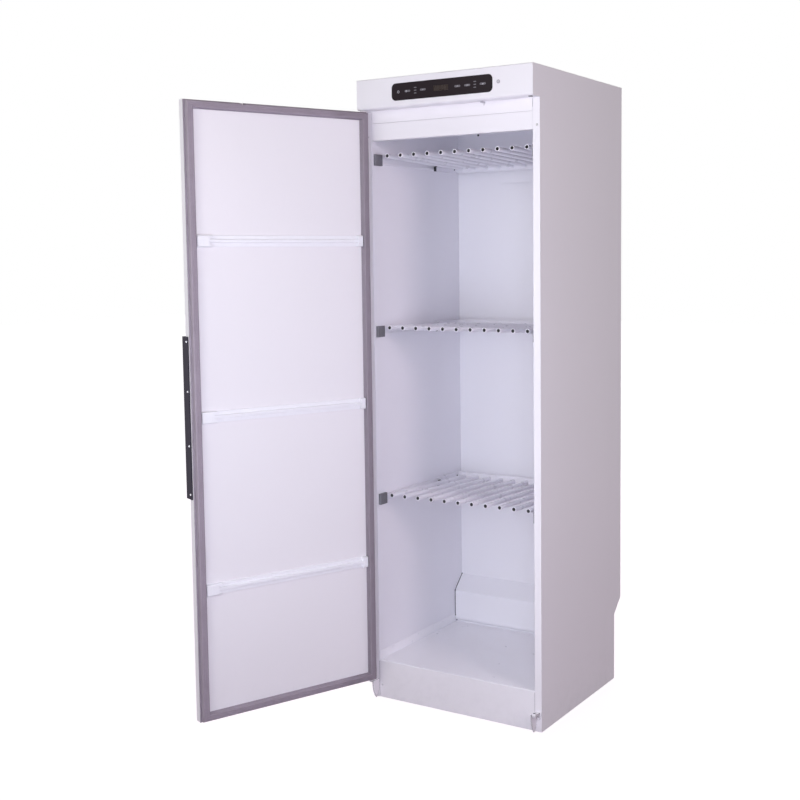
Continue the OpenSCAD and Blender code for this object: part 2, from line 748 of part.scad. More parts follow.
function spiral(add) = [for (a = [0:12:360]) (scroll_r + add + scroll_grow * a / 360) * [cos(a), sin(a)]];

module scroll_shape(add, out) {
    polygon(spiral(add));
    translate([scroll_r - add, -0.5]) square([scroll_grow + 2 * add, out + 0.5]);
}

module fan_housing() color("silver") on_front() translate([0, fan_y, air_z]) difference() {
    union() {
        linear_extrude(scroll_h) scroll_shape(scroll_t, scroll_out);
        // inlet ring over the ceiling slots
        cylinder(h = 5, r = wheel_r - 6);
    }
    translate([0, 0, scroll_t]) linear_extrude(scroll_h - 2 * scroll_t) difference() {
        scroll_shape(0, scroll_out + 1);
        circle(wheel_r - 6);
    }
    translate([0, 0, 5]) cylinder(h = scroll_h - 5 - scroll_t, r = wheel_r);
    translate([0, 0, -1]) cylinder(h = 10, r = wheel_r - 8);
    translate([0, 0, scroll_h - 5]) cylinder(h = 10, r = 14);
}

module fan_motor() color("dimgray") on_front() translate([0, fan_y, air_z + scroll_h]) difference() {
    union() {
        cylinder(h = 4, r = 50);
        translate([0, 0, 3]) cylinder(h = motor_h, r = 38);
        for (a = [0:30:330]) rotate(a) translate([36, -1.5, 4]) cube([6, 3, 24]);
        translate([0, 0, motor_h + 2]) cylinder(h = 5, r1 = 38, r2 = 30);
    }
    translate([0, 0, -1]) cylinder(h = 30, r = 4 + running);
}

// forward-curved wheel with its shaft
module fan_wheel() color("lightsteelblue") on_front() translate([0, fan_y, air_z + 8]) {
    wheel_h = scroll_h - 8 - scroll_t - 5;
    translate([0, 0, wheel_h - 1.5]) cylinder(h = 1.5, r = wheel_r - 3);
    difference() {
        cylinder(h = 1.5, r = wheel_r - 3);
        translate([0, 0, -1]) cylinder(h = 4, r = wheel_r - 18);
    }
    for (i = [0:blade_n - 1]) rotate(i * 360 / blade_n) translate([wheel_r - 17.5, 0, 0])
        linear_extrude(wheel_h) folded([[0, 0], [4.5, 1], [8, 3.2], [10.6, 6.4], [12, 10]], 1);
    translate([0, 0, wheel_h - 18]) cylinder(h = 18, r = 11);
    translate([0, 0, wheel_h - 12]) cylinder(h = 12 + scroll_t + 5 + motor_h - 3, r = 4);
}

module heater_duct() color("silver") on_front() difference() {
    slab([-duct_w / 2, heater_y, air_z], [heater_x, heater_end, air_z + scroll_h]);
    slab([-duct_w / 2 + 1.2, heater_y + 1.2, air_z + 1.2],
        [heater_x - 1.2, heater_end - 1.2, air_z + scroll_h - 1.2]);
    slab([scroll_r, heater_y - 1, air_z + scroll_t],
        [scroll_r + scroll_grow, heater_y + 3, air_z + scroll_h - scroll_t]);
    slab([-duct_w / 2 + 10, space_d - duct_d + 1, air_z - 1],
        [duct_w / 2 - 10, heater_end - 1.3, air_z + 2]);
    translate([0, spigot_y, air_z + scroll_h - 3]) cylinder(h = 6, r = spigot_r - spigot_t);
    for (y = rod_lines) translate([-duct_w / 2 - 1, y, rod_z]) rotate([0, 90, 0])
        cylinder(h = 4, r = 4 + seat);
}
rod_z = air_z + scroll_h / 2;
heater_d = heater_end - heater_y;
rod_lines = [for (i = [0:3]) heater_y + heater_d * (0.19 + 0.153 * i)];
rod_turn = (rod_lines[1] - rod_lines[0]) / 2;
rod_end = scroll_r - 6;
fin_step = (duct_w / 2 + rod_end) / 11;

// serpentine rod with cooling fins
module heating_element() color("darkgray") on_front() {
    $fn = 24;
    for (y = rod_lines) translate([-duct_w / 2 - 10, y, rod_z]) rotate([0, 90, 0])
        cylinder(h = duct_w / 2 + 10 + rod_end, r = 4);
    for (y = [rod_lines[0], rod_lines[2]]) translate([rod_end, y + rod_turn, rod_z]) rotate(-90)
        rotate_extrude(angle = 180) translate([rod_turn, 0]) circle(4);
    for (i = [1:10]) translate([-duct_w / 2 + i * fin_step, rod_lines[1] + rod_turn, rod_z])
        cube([1, 8 * rod_turn, scroll_h / 2], center = true);
}

module duct_cover() color("whitesmoke") on_front() {
    difference() {
        slab([-duct_w / 2, space_d - duct_d, duct_z], [duct_w / 2, space_d, ceiling_z - seat]);
        slab([-duct_w / 2 + liner_t, space_d - duct_d + liner_t, duct_z - 1],
            [duct_w / 2 - liner_t, space_d + 1, ceiling_z]);
    }
    // back edges turned out on the wall
    both_sides() slab([-duct_w / 2 - 10, space_d - liner_t, duct_z],
        [-duct_w / 2 + 0.5, space_d, ceiling_z - seat]);
}

module exhaust_spigot() color("white") on_front() translate([0, spigot_y, 0]) difference() {
    union() {
        translate([0, 0, air_z + scroll_h])
            cylinder(h = carcass_h + spigot_h - air_z - scroll_h, r = spigot_r);
        translate([0, 0, carcass_h]) cylinder(h = 2, r = spigot_r + 14);
    }
    translate([0, 0, air_z]) cylinder(h = carcass_h, r = spigot_r - spigot_t);
}

module sensor_place() translate([-195, space_d, ceiling_z - 8]) rotate([90, 0, 0]) children();

module humidity_sensor() color("black") on_front() sensor_place() {
    cylinder(h = 2, r1 = 4, r2 = 3.2);
    translate([0, 0, -10]) cylinder(h = 10.5, r = 3);
    translate([0, 0, -22]) cylinder(h = 12.5, r = 9);
}

module cable_gland() color("dimgray") on_front() gland_place() difference() {
    union() {
        translate([0, 0, -12]) cylinder(h = 22, r = 10);
        cylinder(h = 5, r = 15, $fn = 6);
        translate([0, 0, 5]) cylinder(h = 14, r1 = 12.5, r2 = 10.5);
        translate([0, 0, -5]) cylinder(h = 5 - sheet_t, r = 14, $fn = 6);
    }
    translate([0, 0, -20]) cylinder(h = 60, r = 4.5);
}

// ---- door ----

module door_skin() color("white") on_door() difference() {
    slab([-door_half, leaf_out, door_z], [door_half, leaf_in, door_top]);
    slab([-door_half + sheet_t, leaf_out + sheet_t, door_z + sheet_t],
        [door_half - sheet_t, leaf_in - sheet_t, door_top - sheet_t]);
    slab([-door_half + fold_w, leaf_in - 2 * sheet_t, door_z + fold_w],
        [door_half - fold_w, leaf_in + 1, door_top - fold_w]);
    bush_places() cylinder(h = 60, r = bush_r + running, center = true);
    handle_screw_places() screw_hole(16);
}

module bush_places() for (z = [door_z, door_top]) translate([hinge_x, hinge_y, z]) children();

module door_inner_panel() color("white") on_door()
    slab([-door_half + fold_w + seat, leaf_in - sheet_t, door_z + fold_w + seat],
        [door_half - fold_w - seat, leaf_in, door_top - fold_w - seat]);

module door_core() color("khaki") on_door() difference() {
    slab([-door_half + sheet_t + seat, leaf_out + sheet_t + seat, door_z + sheet_t + seat],
        [door_half - sheet_t - seat, leaf_in - sheet_t - seat, door_top - sheet_t - seat]);
    bush_places() cylinder(h = 2 * pin_l + 6, r = bush_r + seat, center = true);
    handle_screw_places() screw_hole(16);
}

// bellows seal: a base, folds that step in and out, and a flat face
module gasket_ring(a, b, v0, v1) difference() {
    slab([-door_half + a, leaf_in + v0, door_z + a], [door_half - a, leaf_in + v1, door_top - a]);
    slab([-door_half + b, leaf_in + v0 - 1, door_z + b], [door_half - b, leaf_in + v1 + 1, door_top - b]);
}

module door_gasket() color("thistle") on_door() {
    outer = gasket_in;
    inner = gasket_in + gasket_w;
    gasket_ring(outer, inner, 0, 2.4);
    gasket_ring(outer + 3, inner - 3, 2.3, 5.2);
    gasket_ring(outer + 1, inner - 1, 5.1, 7.8);
    gasket_ring(outer + 3, inner - 3, 7.7, 10.4);
    gasket_ring(outer + 1, inner - 1, 10.3, 13);
    gasket_ring(outer + 2.4, inner - 2.4, 12.9, gasket_h - 1.2);
    gasket_ring(outer + 0.5, inner - 0.5, gasket_h - 4.2, gasket_h - 1.1);
    gasket_ring(outer + 3, outer + 9, gasket_h - 1.2, gasket_h);
    gasket_ring(inner - 9, inner - 3, gasket_h - 1.2, gasket_h);
}

module hinge_bushes() color("gray") on_door() difference() {
    union() {
        translate([hinge_x, hinge_y, door_z - 1.2]) cylinder(h = pin_l + 3.2, r = bush_r);
        translate([hinge_x, hinge_y, door_z - 1.2]) cylinder(h = 1.2, r = bush_r + 1.5);
        translate([hinge_x, hinge_y, door_top - pin_l - 2]) cylinder(h = pin_l + 2, r = bush_r);
    }
    bush_places() cylinder(h = 2 * pin_l + 1, r = pin_r + running, center = true);
}

// flat grip on the door's edge, turned over the door front
module door_handle() color("dimgray") on_door() difference() {
    translate([door_half, 0, handle_z]) linear_extrude(handle_l, center = true) {
        translate([0, leaf_out - handle_out + 4]) square([handle_t, handle_out - 4 + door_t - 4]);
        folded(concat([[handle_t, leaf_out - handle_out + 8]],
            arc([handle_t - 6, leaf_out - handle_out + 6], 6, 0, -90, 6),
            arc([handle_t - handle_lip, leaf_out - handle_out + 4], 4, 270, 190, 4)), -handle_t + 0.4);
    }
    handle_screw_places() screw_hole(16);
}

module handle_screw_places() for (z = handle_screws)
    translate([door_half + handle_t, leaf_in - 12.5, handle_z + z]) rotate([0, 90, 0]) children();

module handle_screw_set() color("silver") on_door() handle_screw_places() screw(14);

// a flat rail with a rounded nose along its middle
module glove_bar_profile() {
    translate([0, -bar_h / 2]) square([bar_t - 1, bar_h]);
    translate([0, 1 - bar_h / 2]) square([bar_t, bar_h - 2]);
    translate([0, -bar_nose]) square([bar_out - 2, 2 * bar_nose]);
    translate([0, 2 - bar_nose]) square([bar_out, 2 * bar_nose - 4]);
    for (z = [-1, 1]) {
        translate([bar_t - 1, z * (bar_h / 2 - 1)]) circle(1);
        translate([bar_out - 2, z * (bar_nose - 2)]) circle(2);
    }
}

module glove_bars() color("white") on_door() for (i = [0:2]) translate([0, leaf_in, bar_z + i * bar_pitch])
    run_x(-door_half + bar_end + bar_in, door_half - bar_end - bar_in) glove_bar_profile();

// moulded end of length l: a rounded block over the bar's end, with a scooped mouth
module glove_bar_cap(l) difference() {
    high = bar_h / 2 + 0.6;
    run_x(0, l) {
        translate([0, -high]) square([cap_out - 4, 2 * high]);
        translate([0, 4 - high]) square([cap_out, 2 * high - 8]);
        for (z = [-1, 1]) translate([cap_out - 4, z * (high - 4)]) circle(4);
    }
    translate([bar_in - seat, 0, 0]) cap_hollow();
    translate([l + 2, 2 * cap_out, 0]) rotate([90, 0, 0]) cylinder(h = 4 * cap_out, r = l / 4 + 1);
}
module cap_hollow() run_x(0, cap_l) {
    translate([-1, -bar_h / 2 - seat]) square([bar_t + seat + 1, bar_h + 2 * seat]);
    translate([-1, -bar_nose - seat]) square([bar_out + seat + 1, 2 * (bar_nose + seat)]);
}

module glove_bar_caps() color("white") on_door() for (i = [0:2])
    translate([0, leaf_in, bar_z + i * bar_pitch]) {
        translate([-door_half + bar_end, 0, 0]) glove_bar_cap(short_cap);
        translate([door_half - bar_end, 0, 0]) mirror([1, 0, 0]) glove_bar_cap(cap_l);
    }
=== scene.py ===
import bpy
import bmesh
import math
from mathutils import Matrix, Vector


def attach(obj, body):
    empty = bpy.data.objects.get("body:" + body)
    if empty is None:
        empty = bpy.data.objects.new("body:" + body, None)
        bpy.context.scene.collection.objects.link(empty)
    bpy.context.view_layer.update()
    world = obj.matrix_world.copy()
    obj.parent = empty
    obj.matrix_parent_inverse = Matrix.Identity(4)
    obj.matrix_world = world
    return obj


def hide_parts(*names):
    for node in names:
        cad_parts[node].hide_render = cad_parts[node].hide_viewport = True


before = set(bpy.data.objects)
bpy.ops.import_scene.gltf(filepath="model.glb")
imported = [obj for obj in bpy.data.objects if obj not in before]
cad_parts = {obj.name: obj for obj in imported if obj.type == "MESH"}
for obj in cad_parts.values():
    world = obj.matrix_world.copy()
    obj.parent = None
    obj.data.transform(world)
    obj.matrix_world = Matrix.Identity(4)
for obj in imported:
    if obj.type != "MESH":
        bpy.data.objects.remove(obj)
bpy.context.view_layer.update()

# ---------------------------------------------------------------- sizes shared with the CAD, in metres
DEPTH = 0.572          # carcass depth; the front plane of the flanges is y = -DEPTH / 2
FRONT = -DEPTH / 2
HALF_W = 0.2975
INNER = 0.275
HINGE = (-0.2875, FRONT - 0.027)
DOOR_OPEN = math.radians(112.6)
DOOR_HALF = 0.2955
DOOR_Z = (0.0655, 1.822)
LEAF_IN = -0.020       # inner face of the door leaf, from the front plane, door closed
RACKS = {"rack_bottom": 0.6315, "rack_middle": 1.1565, "rack_top": 1.6815}
TUBES_ASIDE = 5        # tubes on each side of the middle one
TUBE_PITCH = 0.048
TUBE_R = 0.0070
TUBE_END = (0.189, -0.255)             # y of the tubes' ends at the crossbar and at the front
TUBE_RISE = 0.012
TUBE_SLOPE = TUBE_RISE / (TUBE_END[0] - TUBE_END[1])
SLIDE_END = FRONT + 0.346              # front ends of the racks' slides
SLIDE_WEB = 0.2622                     # x of the slides' webs
FLOOR = 0.1187         # top of the floor tray
PANEL_Z = 1.870        # middle of the control panel and of the button
FILM_Y = FRONT - 0.0427                # face of the control panel's film
DISPLAY_Y = FRONT - 0.0440             # face of the display window
BUTTON_X = 0.1894
PEG_X = 0.1192         # the door switch's peg and its guide rib
BAR_COUNT, BAR_Z, BAR_PITCH = 3, 0.446, 0.4945     # glove bars, height of the lowest, and steps between them
SEAL_W = 0.0250        # width of the door's seal

# the door is drawn closed and swung open with this
DOOR_M = (Matrix.Translation((HINGE[0], HINGE[1], 0)) @ Matrix.Rotation(-DOOR_OPEN, 4, "Z")
          @ Matrix.Translation((-HINGE[0], -HINGE[1], 0)))


# ---------------------------------------------------------------- node helpers
class Mat:
    """A small builder for procedural materials in object coordinates."""

    def __init__(self, name):
        self.m = bpy.data.materials.new(name)
        self.m.use_nodes = True
        self.t = self.m.node_tree
        self.t.nodes.clear()
        self.out = self.t.nodes.new("ShaderNodeOutputMaterial")
        self.b = self.t.nodes.new("ShaderNodeBsdfPrincipled")
        self.t.links.new(self.b.outputs[0], self.out.inputs[0])
        self.co = self.t.nodes.new("ShaderNodeTexCoord").outputs["Object"]

    def link(self, a, b):
        self.t.links.new(a, b)

    def noise(self, scale, detail=3.0, rough=0.5, stretch=None, distortion=0.0):
        n = self.t.nodes.new("ShaderNodeTexNoise")
        n.inputs["Scale"].default_value = scale
        n.inputs["Detail"].default_value = detail
        n.inputs["Roughness"].default_value = rough
        n.inputs["Distortion"].default_value = distortion
        src = self.co
        if stretch:
            mp = self.t.nodes.new("ShaderNodeMapping")
            mp.inputs["Scale"].default_value = stretch
            self.link(self.co, mp.inputs[0])
            src = mp.outputs[0]
        self.link(src, n.inputs["Vector"])
        return n.outputs["Fac"]

    def voronoi(self, scale, feature="F1", output="Distance"):
        n = self.t.nodes.new("ShaderNodeTexVoronoi")
        n.feature = feature
        n.inputs["Scale"].default_value = scale
        self.link(self.co, n.inputs["Vector"])
        return n.outputs[output]

    def ramp(self, fac, stops):
        n = self.t.nodes.new("ShaderNodeValToRGB")
        e = n.color_ramp.elements
        while len(e) < len(stops):
            e.new(0.5)
        for i, (p, c) in enumerate(stops):
            e[i].position = p
            e[i].color = (*c, 1)
        self.link(fac, n.inputs[0])
        return n.outputs[0]

    def grey(self, fac, low, high, a=0.3, b=0.7):
        n = self.t.nodes.new("ShaderNodeMapRange")
        n.inputs["From Min"].default_value = a
        n.inputs["From Max"].default_value = b
        n.inputs["To Min"].default_value = low
        n.inputs["To Max"].default_value = high
        self.link(fac, n.inputs["Value"])
        return n.outputs[0]

    def mix(self, fac, a, b, mode="MIX"):
        n = self.t.nodes.new("ShaderNodeMix")
        n.data_type = "RGBA"
        n.blend_type = mode
        for s, v in ((n.inputs["Factor"], fac), (n.inputs[6], a), (n.inputs[7], b)):
            if hasattr(v, "links"):
                self.link(v, s)
            elif isinstance(v, (int, float)):
                s.default_value = v
            else:
                s.default_value = (*v, 1)
        return n.outputs[2]

    def math(self, op, a, b=0.0):
        n = self.t.nodes.new("ShaderNodeMath")
        n.operation = op
        for s, v in zip(n.inputs, (a, b)):
            if hasattr(v, "links"):
                self.link(v, s)
            else:
                s.default_value = v
        return n.outputs[0]

    def xyz(self):
        n = self.t.nodes.new("ShaderNodeSeparateXYZ")
        self.link(self.co, n.inputs[0])
        return n.outputs

    def bump(self, height, strength, distance, radius=None):
        n = self.t.nodes.new("ShaderNodeBump")
        n.inputs["Strength"].default_value = strength
        n.inputs["Distance"].default_value = distance
        self.link(height, n.inputs["Height"])
        if radius:
            bev = self.t.nodes.new("ShaderNodeBevel")
            bev.samples = 4
            bev.inputs["Radius"].default_value = radius
            self.link(bev.outputs[0], n.inputs["Normal"])
        self.link(n.outputs[0], self.b.inputs["Normal"])

    def edge(self, radius):
        """1 along edges and folds, 0 on flat faces."""
        bev = self.t.nodes.new("ShaderNodeBevel")
        bev.samples = 4
        bev.inputs["Radius"].default_value = radius
        geo = self.t.nodes.new("ShaderNodeNewGeometry")
        dot = self.t.nodes.new("ShaderNodeVectorMath")
        dot.operation = "DOT_PRODUCT"
        self.link(bev.outputs[0], dot.inputs[0])
        self.link(geo.outputs["Normal"], dot.inputs[1])
        return self.grey(dot.outputs["Value"], 1.0, 0.0, 0.75, 0.995)

    def spot(self, x, z, r, soft=0.0003, axis=1):
        """1 inside a circle of radius r round (x, z), seen along Y, or along Z with axis=2."""
        xyz = self.xyz()
        u = self.math("SUBTRACT", xyz[0], x)
        v = self.math("SUBTRACT", xyz[2 if axis == 1 else 1], z)
        d = self.math("SQRT", self.math("ADD", self.math("MULTIPLY", u, u), self.math("MULTIPLY", v, v)))
        return self.grey(d, 1.0, 0.0, r - soft, r + soft)

    def set(self, **k):
        """Even values, straight on the shader."""
        names = {"metal": "Metallic", "coat": "Coat Weight", "coat_rough": "Coat Roughness",
                 "spec": "Specular IOR Level", "sheen": "Sheen Weight"}
        for key, v in k.items():
            self.b.inputs[names[key]].default_value = v

    def colour(self, v):
        if hasattr(v, "links"):
            self.link(v, self.b.inputs["Base Color"])
        else:
            self.b.inputs["Base Color"].default_value = (*v, 1)

    def roughness(self, v):
        self.link(v, self.b.inputs["Roughness"])


def shade(c, k):
    return tuple(min(1.0, x * k) for x in c)


def enamel(name, colour, rough=(0.31, 0.37), dirt=0.0, radius=0.0012, edge_tone=0.94, lumps=0.025):
    """Baked enamel on sheet steel: faint orange peel, uneven gloss, darker along edges and folds."""
    m = Mat(name)
    c = m.ramp(m.noise(1.7, 1.0), [(0.2, shade(colour, 0.993)), (0.8, shade(colour, 1.005))])
    c = m.mix(m.grey(m.noise(240.0, 3.0), 0.0, 0.3), c, shade(colour, 0.985))
    # darker tone along every edge and fold, in creases as well as on outer edges
    fold = m.math("MULTIPLY", m.edge(radius), m.grey(m.noise(60.0, 4.0), 0.35, 1.0))
    c = m.mix(fold, c, shade(colour, edge_tone))
    if dirt:
        # hand marks and dust gather low down
        low = m.grey(m.xyz()[2], 1.0, 0.0, 0.0, 0.16)
        spots = m.grey(m.noise(31.0, 5.0, 0.7), 0.0, 1.0, 0.46, 0.76)
        c = m.mix(m.math("MULTIPLY", m.math("MULTIPLY", low, spots), dirt), c, shade(colour, 0.7))
    m.colour(c)
    m.roughness(m.grey(m.noise(13.0, 4.0, 0.6), *rough))
    peel = m.math("ADD", m.math("MULTIPLY", m.noise(620.0, 2.0), 0.6), m.math("MULTIPLY", m.noise(90.0, 2.0), 0.4))
    m.bump(peel, lumps, 0.0004, radius)
    m.set(coat=0.15, coat_rough=0.2)
    return m.m


def tube_enamel(name, colour):
    """Enamelled tube: bare steel in the bore, darkened nearly to black there as painted shade, a painted highlight on
    the lit cut end, sag marks along it.
    """
    m = Mat(name)
    xyz = m.xyz()
    across = m.math("PINGPONG", m.math("ADD", xyz[0], TUBE_PITCH * 10), TUBE_PITCH / 2)
    near = None
    for z in RACKS.values():
        axis = m.math("ADD", m.math("MULTIPLY", m.math("SUBTRACT", TUBE_END[0], xyz[1]), TUBE_SLOPE), z)
        off = m.math("ABSOLUTE", m.math("SUBTRACT", xyz[2], axis))
        near = off if near is None else m.math("MINIMUM", near, off)
    r = m.math("SQRT", m.math("ADD", m.math("MULTIPLY", across, across), m.math("MULTIPLY", near, near)))
    inside = m.grey(r, 1.0, 0.0, 0.0050, 0.0056)
    front = m.grey(xyz[1], 1.0, 0.0, TUBE_END[1] + 0.0006, TUBE_END[1] + 0.0012)
    c = m.mix(m.grey(m.noise(45.0, 4.0, stretch=(1.0, 0.2, 1.0)), 0.0, 0.4), colour, shade(colour, 0.975))
    # painted highlight: the cut ends are brightened as if more light fell on them
    c = m.mix(m.math("MULTIPLY", front, m.math("SUBTRACT", 1.0, inside)), c, shade(colour, 1.1))
    # the bore: bare steel, painted nearly black as painted shade inside the tube
    c = m.mix(inside, c, m.ramp(m.noise(400.0, 3.0), [(0.3, (0.035, 0.032, 0.036)), (0.7, (0.06, 0.055, 0.06))]))
    m.colour(c)
    m.roughness(m.math("ADD", m.grey(m.noise(30.0, 3.0), 0.26, 0.33), m.math("MULTIPLY", inside, 0.4)))
    m.bump(m.noise(300.0, 2.0), 0.02, 0.0002)
    m.set(coat=0.15, coat_rough=0.2)
    return m.m


def bracket_enamel(name, colour):
    """Enamel on the small folded brackets, with painted shade darkening their edges nearly to black."""
    m = Mat(name)
    rim = m.math("MULTIPLY", m.edge(0.0032), m.grey(m.noise(120.0, 3.0), 0.7, 1.0))
    c = m.mix(m.grey(m.noise(90.0, 4.0), 0.0, 0.4), colour, shade(colour, 0.95))
    # painted shade: the edges are darkened to about an eighth of the enamel's colour
    c = m.mix(rim, c, shade(colour, 0.12))
    m.colour(c)
    m.roughness(m.grey(m.noise(50.0, 3.0), 0.32, 0.44))
    m.bump(m.noise(400.0, 2.0), 0.05, 0.0002, 0.0006)
    return m.m


def cap_plastic(name, colour):
    """White bush, with a near-black disc of painted shade over its bore."""
    m = Mat(name)
    c = m.mix(m.grey(m.noise(160.0, 4.0), 0.0, 0.5), colour, shade(colour, 0.93))
    bore = m.spot(-HINGE[0], HINGE[1], 0.0036, axis=2)
    # painted shade: a near-black disc over the bore
    c = m.mix(m.math("MULTIPLY", bore, 0.97), c, (0.03, 0.026, 0.03))
    m.colour(c)
    m.roughness(m.grey(m.noise(60.0, 3.0), 0.3, 0.45))
    m.bump(m.voronoi(900.0), 0.06, 0.0002, 0.0006)
    return m.m


def button_plastic(name, colour):
    """Push button, paler in a round patch just above its middle."""
    m = Mat(name)
    c = m.mix(m.grey(m.noise(300.0, 4.0), 0.0, 0.5), colour, shade(colour, 0.9))
    c = m.mix(m.spot(BUTTON_X, 1.8717, 0.0042, 0.0012), c, shade(colour, 1.45))
    m.colour(c)
    m.roughness(m.grey(m.noise(90.0, 3.0), 0.28, 0.4))
    m.bump(m.voronoi(1200.0), 0.08, 0.0002, 0.0005)
    return m.m


def plastic(name, colour, rough=(0.32, 0.46), grain=900.0, strength=0.12, radius=0.0008, vary=0.05):
    m = Mat(name)
    n = m.noise(70.0, 4.0)
    c = m.ramp(n, [(0.3, shade(colour, 1 - vary)), (0.7, shade(colour, 1 + vary))])
    c = m.mix(m.grey(m.noise(430.0, 3.0, 0.7), 0.0, 0.5), c, shade(colour, 1 - 1.6 * vary))
    m.colour(c)
    m.roughness(m.grey(m.noise(28.0, 3.0), *rough))
    m.bump(m.voronoi(grain), strength, 0.0002, radius)
    return m.m


def zinc(name, colour=(0.60, 0.61, 0.63)):
    """Zinc-coated sheet: spangle and a few runs."""
    m = Mat(name)
    cells = m.voronoi(85.0, output="Color")
    bw = m.t.nodes.new("ShaderNodeRGBToBW")
    m.link(cells, bw.inputs[0])
    c = m.ramp(bw.outputs[0], [(0.2, shade(colour, 0.82)), (0.8, shade(colour, 1.12))])
    c = m.mix(m.grey(m.noise(9.0, 4.0), 0.0, 0.4), c, shade(colour, 0.75))
    m.colour(c)
    m.set(metal=0.9)
    m.roughness(m.grey(bw.outputs[0], 0.30, 0.48, 0.2, 0.8))
    m.bump(m.noise(260.0, 3.0), 0.1, 0.0003, 0.0005)
    return m.m


def brushed(name, colour, stretch=(30.0, 30.0, 900.0), rough=(0.26, 0.4), metal=1.0, radius=0.0006, spec=0.5):
    m = Mat(name)
    line = m.noise(1.0, 4.0, 0.6, stretch=stretch)
    c = m.ramp(line, [(0.3, shade(colour, 0.9)), (0.7, shade(colour, 1.1))])
    m.colour(m.mix(m.grey(m.noise(24.0, 3.0), 0.0, 0.5), c, shade(colour, 0.86)))
    m.set(metal=metal, spec=spec)
    m.roughness(m.grey(line, *rough))
    m.bump(line, 0.08, 0.0001, radius)
    return m.m


# ---------------------------------------------------------------- materials
WHITE = (0.835, 0.805, 0.848)
LINER = (0.825, 0.805, 0.865)
RACK_WHITE = (0.82, 0.80, 0.865)
mats = {
    "enamel": enamel("enamel_white", WHITE, dirt=0.25),
    "liner": enamel("enamel_liner", LINER, rough=(0.31, 0.36), lumps=0.015),
    "tray": enamel("enamel_tray", (0.88, 0.86, 0.91), rough=(0.27, 0.33), lumps=0.01),
    "rack": enamel("enamel_rack", RACK_WHITE, rough=(0.27, 0.34), radius=0.0005),
    "tube": tube_enamel("enamel_tube", RACK_WHITE),
    "white_plastic": plastic("moulded_white", (0.86, 0.85, 0.90), vary=0.015, strength=0.05),
    "grey_plastic": plastic("moulded_grey", (0.155, 0.15, 0.172), rough=(0.42, 0.58), vary=0.08),
    "dark_plastic": plastic("moulded_dark", (0.028, 0.027, 0.03), rough=(0.38, 0.52), vary=0.12),
    "zinc": zinc("zinc_sheet"),
    "screw": brushed("plated_screw", (0.62, 0.61, 0.64), (300.0, 300.0, 300.0), (0.22, 0.36)),
    "handle": brushed("dark_anodised", (0.026, 0.022, 0.036), (700.0, 700.0, 18.0), (0.5, 0.62), metal=0.0, spec=0.12),
}


def film_black():
    m = Mat("control_film")
    c = m.ramp(m.noise(5.0, 2.0), [(0.3, (0.010, 0.005, 0.008)), (0.7, (0.014, 0.0075, 0.011))])
    specks = m.grey(m.noise(900.0, 2.0, 0.7), 0.0, 0.5, 0.66, 0.8)
    m.colour(m.mix(specks, c, (0.05, 0.048, 0.055)))
    m.roughness(m.grey(m.noise(40.0, 4.0), 0.28, 0.36))
    m.bump(m.noise(300.0, 2.0), 0.02, 0.0002, 0.0004)
    m.set(coat=0.04, coat_rough=0.2, spec=0.12)
    return m.m


def display_film():
    m = Mat("display_window")
    m.colour(m.ramp(m.noise(160.0, 2.0), [(0.3, (0.024, 0.014, 0.012)), (0.7, (0.029, 0.017, 0.014))]))
    m.roughness(m.grey(m.noise(70.0, 3.0), 0.26, 0.36))
    m.bump(m.noise(500.0, 2.0), 0.02, 0.0001)
    m.set(spec=0.2)
    return m.m


def print_ink(name, colour):
    m = Mat(name)
    m.colour(m.ramp(m.noise(1500.0, 3.0, 0.7), [(0.3, shade(colour, 0.8)), (0.7, shade(colour, 1.15))]))
    m.roughness(m.grey(m.noise(300.0, 2.0), 0.3, 0.45))
    m.bump(m.noise(1800.0, 2.0), 0.05, 0.0001)
    return m.m


def rubber(name, colour):
    m = Mat(name)
    c = m.ramp(m.noise(14.0, 4.0), [(0.3, shade(colour, 0.93)), (0.7, shade(colour, 1.05))])
    c = m.mix(m.grey(m.noise(210.0, 4.0, 0.7), 0.0, 0.3, 0.45, 0.75), c, shade(colour, 0.75))
    # painted shade on the seal's hinge side, beside the cabinet; the same mask also darkens the feet all over
    hinge_side_shade = m.grey(m.xyz()[0], 0.0, 0.85, HINGE[0] - 0.030, HINGE[0] - 0.012)
    c = m.mix(m.math("MULTIPLY", hinge_side_shade, m.grey(m.noise(35.0, 4.0), 0.85, 1.0)), c, shade(colour, 0.72))
    m.colour(c)
    m.roughness(m.grey(m.noise(60.0, 3.0), 0.48, 0.66))
    m.bump(m.noise(900.0, 3.0), 0.1, 0.0002, 0.0004)
    return m.m


def board():
    m = Mat("circuit_board")
    tracks = m.voronoi(420.0, feature="DISTANCE_TO_EDGE")
    c = m.ramp(tracks, [(0.03, (0.02, 0.13, 0.05)), (0.12, (0.03, 0.2, 0.08)), (0.3, (0.025, 0.16, 0.06))])
    m.colour(c)
    m.roughness(m.grey(m.noise(90.0, 3.0), 0.28, 0.42))
    m.bump(tracks, 0.2, 0.0002, 0.0004)
    return m.m


def felt():
    m = Mat("insulation_felt")
    c = m.ramp(m.noise(120.0, 6.0, 0.7, stretch=(1.0, 1.0, 0.4)),
               [(0.3, (0.50, 0.44, 0.26)), (0.7, (0.68, 0.60, 0.38))])
    m.colour(c)
    m.roughness(m.grey(m.noise(300.0, 3.0), 0.85, 1.0))
    m.bump(m.noise(500.0, 5.0, 0.8), 0.6, 0.001)
    m.set(sheen=0.2)
    return m.m


